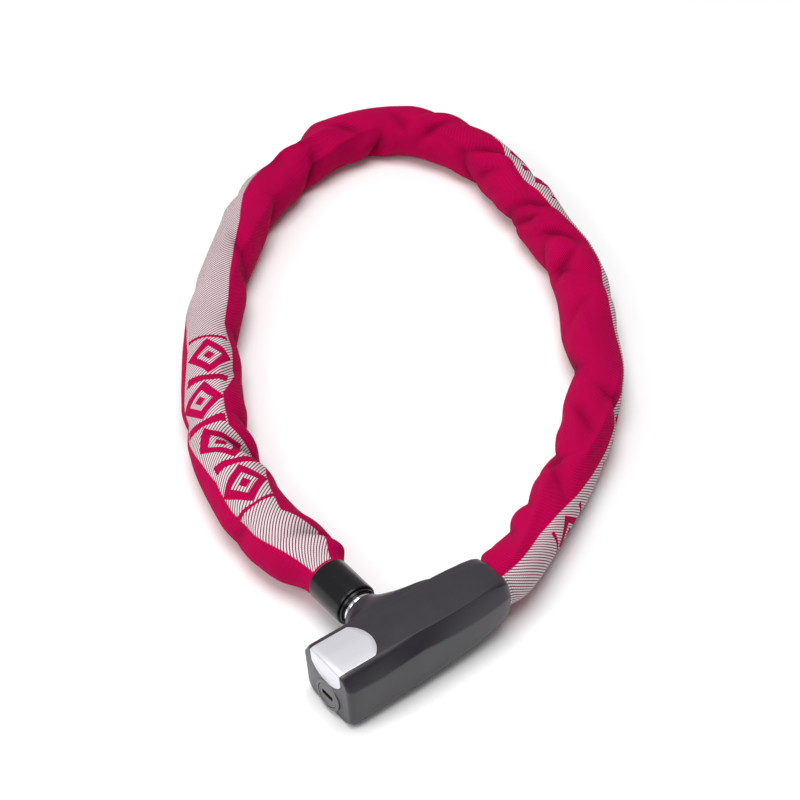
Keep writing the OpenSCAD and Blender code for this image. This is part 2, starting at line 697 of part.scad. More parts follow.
upper_cover();
lower_cover();
silver_badge();
cover_screws();
lock_case();
case_floor_plate();
cylinder_shell();
keyhole_ring();
cylinder_pin();
barrel();
detainer_discs();
disc_spacers();
sidebar();
barrel_cap();
driver_cam();
latch_block();
port_seal();
chain_anchor_pin();
sleeve_clamp_ring();
anchored_chain_links();
bolt_chain_links();
chain_sleeve();
lock_bolt();
bolt_collar();
bolt_o_ring();
ferrule();
ferrule_screws();
bolt_link_pin();
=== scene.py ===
# %% [markdown]
# # A sleeved chain lock
#
# A chain lock is a hardened steel chain in a fabric sleeve. One end is anchored in a short lock body and
# the other ends in a round bolt that plugs into the body's side. This lesson dresses the lock's CAD frame
# with its visible surfaces: woven sleeve, moulded body, satin badge, ferrule, chrome collar and keyhole ring.

import json
import math
import random

import bmesh
import bpy
import numpy as np
from mathutils import Matrix, Vector


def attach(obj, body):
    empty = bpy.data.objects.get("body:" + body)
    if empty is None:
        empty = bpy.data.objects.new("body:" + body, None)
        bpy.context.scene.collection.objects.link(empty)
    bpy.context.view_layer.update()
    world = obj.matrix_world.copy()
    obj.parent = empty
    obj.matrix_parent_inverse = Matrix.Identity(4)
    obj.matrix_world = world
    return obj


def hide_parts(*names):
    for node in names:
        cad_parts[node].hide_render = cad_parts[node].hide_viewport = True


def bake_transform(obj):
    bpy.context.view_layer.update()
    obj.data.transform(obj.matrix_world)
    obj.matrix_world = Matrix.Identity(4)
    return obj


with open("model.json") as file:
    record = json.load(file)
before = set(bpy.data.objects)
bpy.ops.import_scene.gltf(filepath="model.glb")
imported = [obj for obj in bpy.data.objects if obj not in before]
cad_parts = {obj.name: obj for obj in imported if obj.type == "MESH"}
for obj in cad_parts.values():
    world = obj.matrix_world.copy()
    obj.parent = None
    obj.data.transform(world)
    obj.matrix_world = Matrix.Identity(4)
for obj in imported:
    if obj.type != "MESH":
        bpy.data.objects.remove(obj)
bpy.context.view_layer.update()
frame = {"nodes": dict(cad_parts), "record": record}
MM = 0.001

# %% [markdown]
# ## Camera
# The lock is seen from about a metre and a half through a long lens, looking down at roughly forty degrees,
# so parallel edges stay nearly parallel.

# %% Camera
CAMERA_AT = Vector((-0.534, -0.677, 0.963))
LOOK_AT = Vector((0.114, 0.155, 0.0))
SENSOR_MM, FOCAL_PER_WIDTH = 36, 3.25

camera = bpy.data.objects.new("camera", bpy.data.cameras.new("camera"))
bpy.context.scene.collection.objects.link(camera)
camera.location = CAMERA_AT
camera.rotation_euler = (LOOK_AT - CAMERA_AT).to_track_quat("-Z", "Y").to_euler()
camera.data.sensor_width = SENSOR_MM
camera.data.lens = SENSOR_MM * FOCAL_PER_WIDTH
bpy.context.scene.camera = camera
print("camera distance:", round((LOOK_AT - CAMERA_AT).length, 3), "lens mm:", round(camera.data.lens, 1))

# %% [markdown]
# ## Route of the sleeve
# The chain lies on the floor as one open loop, and its ends rise to the height of the bolt and the mouth.
# The route is the same list of points as in the CAD, rounded off with the same Catmull-Rom curve, so sleeve
# and chain agree.

# %% Route
BOLT_X, BOLT_Z, FERRULE_END_Y = -0.009, 0.0195, 0.056
LIE_Z = 0.0157
MOUTH_Z, END_X, CLAMP_X = 0.0205, 0.0525, 0.032
BODY_RUN = END_X - CLAMP_X  # length of sleeve inside the body
ROUTE_XY_MM = [
    (-7, 130), (1, 159), (13, 185), (29, 212), (48, 240), (70, 266), (94, 290), (122, 313), (151, 332),
    (184, 344), (218, 348), (248, 338), (268, 312), (275, 280), (271, 247), (264, 214), (255, 181),
    (241, 150), (221, 120), (200, 92), (175, 67), (148, 47),
]
route = [(BOLT_X, FERRULE_END_Y, BOLT_Z), (BOLT_X, 0.074, 0.0188), (-0.010, 0.100, 0.0166)]
route += [(x * MM, y * MM, LIE_Z) for x, y in ROUTE_XY_MM]
route += [(0.1185, 0.030, 0.0165), (0.0885, 0.014, 0.018), (0.068, 0.004, 0.020)]
route += [(END_X, 0.0, MOUTH_Z), (CLAMP_X, 0.0, MOUTH_Z)]


def refine(points, steps):
    """A smooth curve through the points, steps pieces between neighbours."""
    p = np.array(points, float)
    line = []
    for i in range(len(p) - 1):
        p0, p1, p2, p3 = p[max(i - 1, 0)], p[i], p[i + 1], p[min(i + 2, len(p) - 1)]
        for t in np.arange(steps) / steps:
            line.append(
                0.5 * (2 * p1 + (p2 - p0) * t + (2 * p0 - 5 * p1 + 4 * p2 - p3) * t**2
                       + (3 * p1 - p0 - 3 * p2 + p3) * t**3)
            )
    return np.array(line + [p[-1]])


line = refine(route, 6)
runs = np.concatenate([[0], np.cumsum(np.linalg.norm(np.diff(line, axis=0), axis=1))])
SLEEVE_L = runs[-1]


def along(s):
    """Centre points at the lengths s."""
    return np.stack([np.interp(s, runs, line[:, k]) for k in range(3)], axis=-1)


print("sleeve length:", round(SLEEVE_L, 4))

# %% [markdown]
# ## Sleeve
# The sleeve is a flat-woven tube, wider than the chain inside it. It lies loosely on the links, so it shows
# broad waves, pinches where spare cloth gathers on the inside of each bend, and fold lines along it. All of
# that is a radius that changes along and around the tube, so the sleeve starts as a grid of lengths S and
# angles A. Angle 0 is the inside of the loop and 90 degrees is up. The tables below were written for a
# sleeve of TABLE_L, so they are read at the scaled length T.

# %% Sleeve grid
AROUND, RING_STEP = 96, 0.00095
TABLE_L = 0.893
rings = int(round(SLEEVE_L / RING_STEP)) + 1
s_of = np.linspace(0, SLEEVE_L, rings)
S, A = np.meshgrid(s_of, np.linspace(0, 2 * math.pi, AROUND, endpoint=False), indexing="ij")
T = S * TABLE_L / SLEEVE_L
to_mouth = SLEEVE_L - S - BODY_RUN


def ease(t):
    u = np.clip(t, 0, 1)
    return u * u * (3 - 2 * u)


def angle_from(a):
    """How far round the tube each grid point lies from the angle a, between minus and plus pi."""
    return (A - a + math.pi) % (2 * math.pi) - math.pi


print("grid:", rings, "rings of", AROUND, "points")

# %% [markdown]
# Fullness is the tube's size before any fold. Cloth bunches up behind the ferrule and is drawn tighter
# further on, most of all before the mouth. Only the width and the upper half change, because the lower half
# rests on the floor. Both ends narrow to a round neck. At the ferrule the tube opens out sooner on the inside
# of the bend than on the outside.

# %% Fullness
NECK_R, MOUTH_R = 0.0115, 0.0124
HALF_W, HALF_H = 0.0162, 0.0152
FULLNESS = [
    # s, how full the sleeve lies there
    (0.0, 1.0), (0.02, 1.12), (0.05, 1.14), (0.10, 1.06), (0.16, 1.03), (0.197, 0.97), (0.23, 0.93),
    (0.265, 0.87), (0.336, 0.87), (0.37, 0.90), (0.43, 0.93), (0.463, 0.97), (0.50, 0.93), (0.56, 0.93),
    (0.62, 0.95), (0.66, 0.97), (0.70, 0.94), (0.73, 0.91), (0.765, 0.88), (0.80, 0.86), (0.90, 0.86),
]
full_s, full_k = np.array(FULLNESS).T
full = np.interp(T, full_s, full_k)
full_up = np.where(np.sin(A) > 0, 1 + (full - 1) * np.sin(A), 1.0)
inner_side = np.exp(-(angle_from(0.4) ** 2))
a_in = ease(S / (0.026 - 0.017 * inner_side))
b_in = ease(to_mouth / 0.014)
half_w = MOUTH_R + (NECK_R + (HALF_W * full - NECK_R) * a_in - MOUTH_R) * b_in
half_h = MOUTH_R + (NECK_R + (HALF_H * full_up - NECK_R) * a_in - MOUTH_R) * b_in
print("half width mm:", round(half_w.min() / MM, 1), "to", round(half_w.max() / MM, 1))

# %% [markdown]
# A crease is a groove across the tube with a raised shoulder on both sides, as in cloth that is pushed
# together. A ridge is a fold line that runs along the tube and wanders round it. Gentle waves lie under both.

# %% Fold shapes
SHOULDER_H, SHOULDER_AT = 0.22, 2.6


def smooth_waves(seed, wave, count, spread):
    """Gentle waves along the tube whose phase drifts round it."""
    rng = random.Random(seed)
    total = np.zeros_like(S)
    for _ in range(count):
        k = rng.choice((1, 2, 2, 3))
        length = wave * rng.uniform(0.7, 1.5)
        total += rng.uniform(0.5, 1) * np.sin(2 * math.pi * S / length + k * A + rng.uniform(0, 6.28))
    return total * spread / count


def crease(s0, a0_deg, depth, reach_s, reach_a_deg, slant):
    """A groove across the tube at s0, deepest at a0, with a raised shoulder on both sides."""
    da = angle_from(math.radians(a0_deg))
    ds = T - s0 - slant * da
    fade = np.exp(-((da / math.radians(reach_a_deg)) ** 2))
    groove = -np.exp(-np.abs(ds / reach_s) ** 1.2)
    hump = SHOULDER_H * np.exp(-((np.abs(ds) / reach_s - SHOULDER_AT) ** 2))
    return depth * fade * (groove + hump)


def ridge(s0, s1, a0_deg, a1_deg, height, width_deg):
    """A fold line that runs along the tube from (s0, a0) to (s1, a1)."""
    t = (T - s0) / (s1 - s0)
    da = angle_from(np.radians(a0_deg + (a1_deg - a0_deg) * np.clip(t, 0, 1)))
    fade = ease(t / 0.25) * ease((1 - t) / 0.25)
    return height * fade * np.exp(-np.abs(da / math.radians(width_deg)) ** 1.4)


# %% [markdown]
# Each fold is listed with its place. About half of the creases are on the inside of the loop, close to
# 0 degrees.

# %% Folds
CREASES = [
    # s, angle, depth, reach along, reach round, slant
    (0.018, 55, 0.0030, 0.0055, 60, 0.006), (0.097, 40, 0.0052, 0.0060, 60, 0.012),
    (0.124, 7, 0.0026, 0.0055, 45, 0.004), (0.196, -5, 0.0032, 0.0080, 50, 0.005),
    (0.254, 0, 0.0026, 0.0090, 45, -0.005), (0.312, -10, 0.0034, 0.0070, 50, 0.010),
    (0.364, 5, 0.0036, 0.0060, 60, 0.008), (0.352, 140, 0.0034, 0.0150, 50, 0.004),
    (0.376, 140, 0.0040, 0.0055, 46, 0.006), (0.420, -20, 0.0038, 0.0044, 46, 0.006),
    (0.440, 60, 0.0022, 0.0050, 40, -0.010), (0.457, 130, 0.0020, 0.0050, 40, 0.008),
    (0.497, -10, 0.0028, 0.0055, 50, -0.008), (0.515, 25, 0.0024, 0.0050, 46, 0.010),
    (0.550, -5, 0.0030, 0.0052, 50, 0.007), (0.566, 30, 0.0034, 0.0040, 56, 0.010),
    (0.597, 0, 0.0026, 0.0060, 50, -0.006), (0.620, 40, 0.0022, 0.0055, 50, 0.010),
    (0.697, -5, 0.0050, 0.0110, 56, 0.008), (0.770, 12, 0.0030, 0.0060, 56, 0.014),
    (0.782, 60, 0.0018, 0.0050, 40, -0.010), (0.812, 15, 0.0028, 0.0060, 52, 0.010),
    (0.836, 20, 0.0024, 0.0055, 50, 0.010), (0.050, 170, 0.0018, 0.0050, 40, 0.006),
    (0.132, 190, 0.0018, 0.0050, 44, 0.005), (0.232, 185, 0.0018, 0.0055, 46, -0.006),
    (0.320, 165, 0.0020, 0.0055, 40, 0.008), (0.480, 145, 0.0020, 0.0050, 40, 0.006),
    (0.532, 150, 0.0020, 0.0050, 38, -0.006), (0.640, 165, 0.0018, 0.0055, 44, 0.006),
    (0.728, 140, 0.0026, 0.0050, 46, 0.008), (0.160, 60, 0.0016, 0.0070, 40, -0.012),
    (0.268, 60, 0.0026, 0.0070, 44, 0.014), (0.660, 55, 0.0016, 0.0075, 44, -0.014),
    (0.862, 10, -0.0030, 0.0090, 60, 0.004), (0.006, 35, -0.0020, 0.0060, 50, 0.004),
    (0.505, 85, 0.0036, 0.0045, 46, 0.014), (0.562, 80, 0.0034, 0.0045, 40, 0.012),
    (0.591, 80, 0.0036, 0.0045, 44, 0.010), (0.614, 65, 0.0030, 0.0050, 40, -0.012),
    (0.462, 60, 0.0034, 0.0045, 42, 0.010), (0.402, 70, 0.0028, 0.0050, 40, -0.012),
    (0.745, 75, 0.0026, 0.0070, 44, 0.016), (0.796, 85, 0.0018, 0.0060, 44, 0.016),
]
RIDGES = [
    # s from, s to, angle from, angle to, height, width
    (0.010, 0.110, 150, 95, 0.0012, 12), (0.090, 0.200, 95, 60, 0.00105, 11.25),
    (0.200, 0.345, 70, 35, 0.00135, 10.5), (0.340, 0.400, 120, 70, 0.0021, 9),
    (0.345, 0.430, 20, 50, 0.0018, 9.75), (0.430, 0.520, 80, 30, 0.0018, 10.5),
    (0.500, 0.600, 95, 45, 0.00165, 10.5), (0.590, 0.700, 30, 90, 0.00135, 11.25),
    (0.690, 0.790, 150, 110, 0.0021, 9), (0.780, 0.880, 60, 110, 0.0015, 10.5),
]
creased = sum(crease(*c) for c in CREASES)
fold = smooth_waves(3, 0.085, 7, 0.0017) + smooth_waves(8, 0.050, 7, 0.0006)
fold += creased
for fold_line in RIDGES:
    fold += ridge(*fold_line)
fold *= ease(S / 0.018) * ease(to_mouth / 0.012)
print("creases:", len(CREASES), "ridges:", len(RIDGES))

# %% [markdown]
# The folded tube is laid along the route. A fold is never pressed in further than the chain inside allows,
# and the underside is flattened where it meets the floor.

# %% Sleeve surface
LEAST_R, HEADING_REACH, FLOOR_GAP = 0.0112, 0.006, 0.0002
fold = np.where(S > SLEEVE_L - BODY_RUN, fold, np.maximum(fold, np.minimum(LEAST_R - half_h, 0)))
centre = along(s_of)
heading = along(np.minimum(s_of + HEADING_REACH, SLEEVE_L)) - along(np.maximum(s_of - HEADING_REACH, 0))
heading[0] = (0, 1, 0)
heading[s_of > SLEEVE_L - BODY_RUN - 0.001] = (-1, 0, 0)
heading /= np.linalg.norm(heading, axis=1)[:, None]
across = np.cross(heading, (0, 0, 1))
across /= np.linalg.norm(across, axis=1)[:, None]
up = np.cross(across, heading)
x_part = ((half_w + fold) * np.cos(A))[..., None] * across[:, None, :]
z_part = ((half_h + fold) * np.sin(A))[..., None] * up[:, None, :]
points = centre[:, None, :] + x_part + z_part
points[..., 2] = np.maximum(points[..., 2], FLOOR_GAP)
print("fold range mm:", round(fold.min() / MM, 2), round(fold.max() / MM, 2))

# %% [markdown]
# The grid becomes a closed skin: one quad per cell, and a small turned-in cap at each end. The cloth's own
# coordinates go into a UV map in metres, so that ribs keep their real pitch wherever the tube bends.
# A second map says where each point lies against the reflective stripe, which wanders round the tube.

# %% Sleeve mesh
GIRTH = 0.100
STRIPE = [
    # s, centre angle, half width in degrees
    (0.000, 104, 29), (0.020, 92, 42), (0.040, 111, 30), (0.060, 102, 39), (0.080, 87, 48),
    (0.097, 86, 60), (0.115, 118, 44), (0.140, 116, 43), (0.160, 92, 53), (0.180, 92, 47),
    (0.200, 106, 46), (0.220, 116, 55), (0.260, 130, 57), (0.290, 143, 54), (0.315, 164, 48),
    (0.340, 180, 54), (0.380, 205, 58), (0.440, 225, 58), (0.480, 205, 59), (0.500, 184, 59),
    (0.520, 163, 59), (0.540, 152, 59), (0.560, 160, 59), (0.580, 178, 59), (0.597, 206, 59),
    (0.612, 204, 59), (0.632, 192, 59), (0.655, 192, 59), (0.680, 210, 59), (0.700, 224, 59),
    (0.730, 217, 59), (0.760, 222, 59), (0.780, 216, 59), (0.800, 205, 59), (0.820, 187, 59),
    (0.840, 176, 59), (0.900, 174, 59),
]


def new_object(name, mesh):
    obj = bpy.data.objects.new(name, mesh)
    bpy.context.scene.collection.objects.link(obj)
    return obj


def sleeve_mesh():
    bm = bmesh.new()
    uv = bm.loops.layers.uv.new("cloth")
    grid = [[bm.verts.new(points[i, k]) for k in range(AROUND)] for i in range(rings)]
    for i in range(rings - 1):
        for k in range(AROUND):
            n = (k + 1) % AROUND
            face = bm.faces.new((grid[i][k], grid[i][n], grid[i + 1][n], grid[i + 1][k]))
            face.smooth = True
            u0, u1 = GIRTH * k / AROUND, GIRTH * (k + 1) / AROUND
            v0, v1 = s_of[i], s_of[i + 1]
            for loop, co in zip(face.loops, ((u0, v0), (u1, v0), (u1, v1), (u0, v1))):
                loop[uv].uv = co
    for ring in (list(reversed(grid[0])), grid[-1]):
        cap = bm.faces.new(ring)
        bmesh.ops.inset_region(bm, faces=[cap], thickness=0.0012, depth=-0.0006)
    bmesh.ops.recalc_face_normals(bm, faces=bm.faces)
    mesh = bpy.data.meshes.new("chain_sleeve_cloth")
    bm.to_mesh(mesh)
    bm.free()
    return mesh


sleeve = new_object("woven_sleeve", sleeve_mesh())
stripe_s, stripe_a, stripe_w = np.array(STRIPE, float).T
off = (np.degrees(A) - np.interp(T, stripe_s, stripe_a) + 180) % 360 - 180
stripe_u = off / 360 * GIRTH
stripe_edge = np.interp(T, stripe_s, stripe_w) / 360 * GIRTH - np.abs(stripe_u)
cloth = sleeve.data.attributes.new("stripe", "FLOAT_VECTOR", "POINT")
values = np.zeros((len(sleeve.data.vertices), 3))
values[: rings * AROUND] = np.stack([stripe_u, T, stripe_edge], axis=-1).reshape(-1, 3)
values[rings * AROUND:, 2] = -1
cloth.data.foreach_set("vector", values.ravel())
# The depth of the creases is stored per point so that the sleeve material can paint shade into them.
crease_shade_depth = sleeve.data.attributes.new("crease_shade_depth", "FLOAT", "POINT")
crease_shade_depth_m = np.zeros(len(sleeve.data.vertices))
crease_shade_depth_m[: rings * AROUND] = np.maximum(-creased, 0).ravel()
crease_shade_depth.data.foreach_set("value", crease_shade_depth_m)
print("sleeve faces:", len(sleeve.data.polygons))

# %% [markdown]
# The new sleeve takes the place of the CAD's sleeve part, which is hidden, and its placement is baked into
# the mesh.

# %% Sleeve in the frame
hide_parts("chain_sleeve")
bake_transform(sleeve)

# %% [markdown]
# ## Mesh helpers
# Turned parts are spun from a half profile, prisms are extruded from an outline, and the moulded shell is
# put together with Boolean operations, as a toolmaker would cut it.

# %% Helpers
SHARP_DEG = 32


def finish_mesh(bm, name):
    bmesh.ops.remove_doubles(bm, verts=bm.verts, dist=1e-6)
    bmesh.ops.recalc_face_normals(bm, faces=bm.faces)
    for face in bm.faces:
        face.smooth = True
    mesh = bpy.data.meshes.new(name)
    bm.to_mesh(mesh)
    bm.free()
    mesh.set_sharp_from_angle(angle=math.radians(SHARP_DEG))
    return new_object(name, mesh)


def turned(name, profile, at, axis, steps=96):
    """A closed half profile of (distance along the axis, radius) in mm, spun about the axis through at."""
    bm = bmesh.new()
    verts = [bm.verts.new((r * MM, 0, z * MM)) for z, r in profile]
    edges = [bm.edges.new((verts[i], verts[(i + 1) % len(verts)])) for i in range(len(verts))]
    bmesh.ops.spin(bm, geom=verts + edges, cent=(0, 0, 0), axis=(0, 0, 1), angle=2 * math.pi, steps=steps,
                   use_merge=True)
    turn = Vector((0, 0, 1)).rotation_difference(Vector(axis)).to_matrix().to_4x4()
    bmesh.ops.transform(bm, matrix=Matrix.Translation(at) @ turn, verts=bm.verts)
    return finish_mesh(bm, name)


def prism(name, outline, low, high, plane="xy"):
    """An outline in mm raised from low to high: plane xy along Z, yz along X, xz along Y."""
    bm = bmesh.new()
    place = {
        "xy": lambda a, b, c: (a, b, c),
        "yz": lambda a, b, c: (c, a, b),
        "xz": lambda a, b, c: (a, c, b),
    }
    rows = [[bm.verts.new(Vector(place[plane](a, b, h)) * MM) for a, b in outline] for h in (low, high)]
    n = len(outline)
    for i in range(n):
        bm.faces.new((rows[0][i], rows[0][(i + 1) % n], rows[1][(i + 1) % n], rows[1][i]))
    bm.faces.new(list(reversed(rows[0])))
    bm.faces.new(rows[1])
    return finish_mesh(bm, name)


def boolean(obj, tool, operation):
    """Applies one Boolean operation to obj's mesh and removes the tool."""
    mod = obj.modifiers.new("cut", "BOOLEAN")
    mod.operation, mod.object, mod.solver = operation, tool, "EXACT"
    bpy.context.view_layer.update()
    done = bpy.data.meshes.new_from_object(obj.evaluated_get(bpy.context.evaluated_depsgraph_get()))
    obj.modifiers.clear()
    old = obj.data
    obj.data = done
    bpy.data.meshes.remove(old)
    bpy.data.objects.remove(tool)
    return obj


def rod(name, at, axis, radius_mm, length_mm, steps=96):
    return turned(name, [(0, 0), (0, radius_mm), (length_mm, radius_mm), (length_mm, 0)], at, axis, steps)


def clean_up(obj, name, bevel_mm=0.0):
    """Cleans a Boolean result, softens its hard edges and marks what is left of them as sharp."""
    bm = bmesh.new()
    bm.from_mesh(obj.data)
    bmesh.ops.remove_doubles(bm, verts=bm.verts, dist=2e-6)
    bmesh.ops.dissolve_degenerate(bm, edges=bm.edges, dist=2e-6)
    if bevel_mm:
        hard = [e for e in bm.edges if len(e.link_faces) == 2 and e.calc_face_angle(0) > math.radians(40)]
        bmesh.ops.bevel(bm, geom=hard, offset=bevel_mm * MM, segments=2, profile=0.5, affect="EDGES",
                        material=-1, clamp_overlap=True)
    bmesh.ops.recalc_face_normals(bm, faces=bm.faces)
    for face in bm.faces:
        face.smooth = True
    bm.to_mesh(obj.data)
    bm.free()
    obj.data.set_sharp_from_angle(angle=math.radians(SHARP_DEG))
    obj.name = obj.data.name = name
    return obj

# %% [markdown]
# ## Lock body
# The body is a moulded cover in two halves. Its cross-section is a flat top, two long chamfers, straight
# sides and rounded lower corners that grow towards the chain mouth. Every corner gets a small round, since
# a mould can't make a knife edge and the eye reads the highlight on it. Body sizes are in millimetres.

# %% Body outline
KEY_X, FOOT_X, LEAN, BODY_H = -52.5, -49.5, 3.0, 36.0
SIDE, TOP, SHOULDER = 18.0, 12.0, 27.0
STATIONS = [
    # x from the foot, half width, half top, top, shoulder, corner radius, lift, lean
    (0, SIDE - 1.6, TOP - 0.8, BODY_H - 0.9, SHOULDER + 2.4, 6.2, 1.4, LEAN),
    (0.5, SIDE - 0.6, TOP - 0.3, BODY_H - 0.35, SHOULDER + 1.7, 6.8, 0.7, LEAN),
    (1.6, SIDE + 0.2, TOP, BODY_H - 0.05, SHOULDER + 0.9, 7.2, 0.2, LEAN),
    (3.4, SIDE + 0.7, TOP + 0.1, BODY_H, SHOULDER + 0.3, 7.6, 0, LEAN * 0.9),
    (19, SIDE + 0.6, TOP + 0.1, BODY_H, SHOULDER - 0.5, 8.0, 0, 0),
    (43, SIDE + 0.5, TOP - 0.2, BODY_H, SHOULDER + 2.0, 9, 0, 0),
    (54, SIDE, TOP + 0.3, BODY_H, SHOULDER - 0.2, 9.5, 0, 0),
    (68, SIDE - 0.4, TOP + 0.5, BODY_H, SHOULDER - 1.2, 10.5, 0.3, 0),
    (81, SIDE - 1.1, TOP, BODY_H, SHOULDER - 1.4, 11.5, 1, 0),
    (91, SIDE - 1.9, TOP - 0.8, BODY_H - 0.3, SHOULDER - 1.4, 12, 2.6, 0),
    (97, SIDE - 2.6, TOP - 1.8, BODY_H - 1.0, SHOULDER - 1.1, 12, 4.4, 0),
    (100, SIDE - 3.2, TOP - 2.8, BODY_H - 1.8, SHOULDER - 1.3, 11.8, 5.6, 0),
    (101.4, SIDE - 4.0, TOP - 3.8, BODY_H - 2.8, SHOULDER - 1.8, 11.2, 6.6, 0),
    (102, SIDE - 5.1, TOP - 5.0, BODY_H - 4.2, SHOULDER - 2.6, 10.4, 7.6, 0),
]


def rounded(corner, before, after, radius, steps=4):
    """Points of a small arc in place of a corner between two neighbours."""
    c, a, b = (np.array(p, float) for p in (corner, before, after))
    da, db = (a - c) / np.linalg.norm(a - c), (b - c) / np.linalg.norm(b - c)
    p0, p1 = c + da * radius, c + db * radius
    return [tuple((1 - t) ** 2 * p0 + 2 * t * (1 - t) * c + t * t * p1) for t in np.linspace(0, 1, steps)]


def body_section(station):
    x, w, tw, zt, zc, rb, zb, lean = station
    strip = 2.3 * float(np.clip((50 - x) / 26, 0.2, 1)) + 2.4 * float(np.clip((x - 86) / 15, 0, 1)) ** 2
    far_strip = 4.5 * float(np.clip((x - 36) / 46, 0, 1))
    ridge = (0.0, zt + 0.22)
    halves = []
    for inset in (far_strip, 0.0):
        shoulder, top = (w, zc), (tw - inset, zt)
        edge = (tw + strip, zt - 0.5 * strip - 0.14 * inset)
        half = rounded(top, ridge, edge, 0.45 * strip) + rounded(edge, top, shoulder, 0.45 * strip)
        half += rounded(shoulder, edge, (w, zc - 6), 0.9)
        half += [(w - rb + rb * math.cos(a), zb + rb - rb * math.sin(a))
                 for a in np.radians(np.arange(0, 91, 11.25))]
        halves.append(half)
    right, left = halves[0], [(-y, z) for y, z in reversed(halves[1])]
    return [(FOOT_X + x - lean * z / BODY_H, y, z) for y, z in [ridge] + right + left]


def body_solid(name):
    bm = bmesh.new()
    fine = []
    for a, b in zip(STATIONS, STATIONS[1:]):
        steps = max(1, int((b[0] - a[0]) / 4))
        fine += [tuple(np.array(a) + (np.array(b) - np.array(a)) * k / steps) for k in range(steps)]
    fine.append(STATIONS[-1])
    rows = [[bm.verts.new(Vector(p) * MM) for p in body_section(s)] for s in fine]
    n = len(rows[0])
    for r0, r1 in zip(rows, rows[1:]):
        for i in range(n):
            bm.faces.new((r0[i], r0[(i + 1) % n], r1[(i + 1) % n], r1[i]))
    bm.faces.new(list(reversed(rows[0])))
    bm.faces.new(rows[-1])
    return finish_mesh(bm, name)


print("body stations:", len(STATIONS))

# %% [markdown]
# The bolt port is a round neck that swells as it runs back into the side of the body. It swells much more
# towards the chain mouth than towards the key face, and its top rises to meet the body's own top.

# %% Bolt port
PORT_Y, PORT_R, PORT_Z, PORT_SIDES = 27.5, 10.9, 19.5, 96
FLARE_R, FLARE_Y, FLARE_FAR = 9.0, 16.2, 17.0
TOP_RISE, TOP_RISE_Y, LOW_DROP, LOW_Z_MIN = 5.5, 12.2, 7.0, 1.6


def port_solid(name):
    """The round neck round the bolt, which flares out into the body's side."""
    bm = bmesh.new()
    rows = []
    # each stop is y, how far the flare has run, and how much smaller the section is made
    stops = [(PORT_Y, 0.0, 0.7), (PORT_Y - 0.2, 0.0, 0.25), (PORT_Y - 0.7, 0.05, 0.0)]
    stops += [(PORT_Y + (FLARE_Y - PORT_Y) * t, t, 0.0) for t in np.linspace(0.12, 1, 14)]
    stops += [(15.5, 1.0, 0.0), (13.5, 1.0, 0.0), (11.0, 1.0, 0.1), (8.0, 1.0, 1.2)]
    for y, t, shrink in stops:
        grow = 1 - math.sqrt(max(0.0, 1 - t * t))
        half = PORT_R + FLARE_R * grow + 4.5 * t**1.6 - shrink
        rise = min(1.0, max(0.0, (PORT_Y - y) / (PORT_Y - TOP_RISE_Y)))
        top = PORT_Z + PORT_R + TOP_RISE * math.sin(0.5 * math.pi * rise) ** 1.3 - shrink
        low = max(PORT_Z - PORT_R - LOW_DROP * grow**0.8, LOW_Z_MIN) + shrink
        power = 2 / (2 + 0.5 * t**2)
        row = []
        for a in np.linspace(0, 2 * math.pi, PORT_SIDES, endpoint=False):
            c, s = math.cos(a), math.sin(a)
            wide = half + (FLARE_FAR * t**2.2 if c > 0 else 0.0)
            reach_z = (top - PORT_Z) if s >= 0 else (PORT_Z - low)
            px = BOLT_X / MM + wide * math.copysign(abs(c) ** power, c)
            pz = PORT_Z + reach_z * math.copysign(abs(s) ** power, s)
            row.append(bm.verts.new(Vector((px, y, pz)) * MM))
        rows.append(row)
    for r0, r1 in zip(rows, rows[1:]):
        for i in range(PORT_SIDES):
            n = (i + 1) % PORT_SIDES
            bm.faces.new((r0[i], r0[n], r1[n], r1[i]))
    bm.faces.new(list(reversed(rows[0])))
    bm.faces.new(rows[-1])
    return finish_mesh(bm, name)


# %% [markdown]
# The badge is the skin of the same outline, bent over the top edge of the key face. Each end is an arc. The
# same cutter, grown by a hair, makes the recess that it sits in.

# %% Badge cutters
BADGE_Y, BADGE_T = 11.6, 1.2  # half width and thickness
BADGE_END, ARC_TOP = -24.5, 14.2  # end on the top and its arc
LOW_Z, ARC_LOW = 20.4, 13.0  # lower end on the key face and its arc


def arc(radius, half, steps=20):
    return [(radius * math.cos(a), radius * math.sin(a))
            for a in np.linspace(-1, 1, steps) * math.asin(half / radius)]


def badge_cutters(grow):
    """Three prisms whose common space is the bent badge, grown all round."""
    w, in_x, in_z = BADGE_Y + grow, FOOT_X + BADGE_T + grow, BODY_H - BADGE_T - grow
    bent = [(KEY_X - 5, 0), (in_x, 0), (in_x - LEAN * in_z / BODY_H, in_z), (BADGE_END + 5, in_z),
            (BADGE_END + 5, BODY_H + 4), (KEY_X - 5, BODY_H + 4)]
    top = [(KEY_X - 8, w), (KEY_X - 8, -w)]
    top += [(BADGE_END - ARC_TOP + x, y) for x, y in arc(ARC_TOP + grow, w)]
    low = [(ARC_LOW - 0.4, BODY_H + 8), (0.4 - ARC_LOW, BODY_H + 8)]
    low += [(y, LOW_Z + ARC_LOW - x) for x, y in arc(ARC_LOW + grow, ARC_LOW - 0.4)]
    region = prism("region", bent, -20, 20, "xz")
    boolean(region, prism("region_top", top, -1, BODY_H + 6), "INTERSECT")
    return boolean(region, prism("region_low", low, KEY_X - 10, KEY_X + 50, "yz"), "INTERSECT")


# %% [markdown]
# The two covers are the joined outline and port with their openings cut, split at the seam. Both halves
# stop short of the seam, which leaves the fine dark line of a real joint.

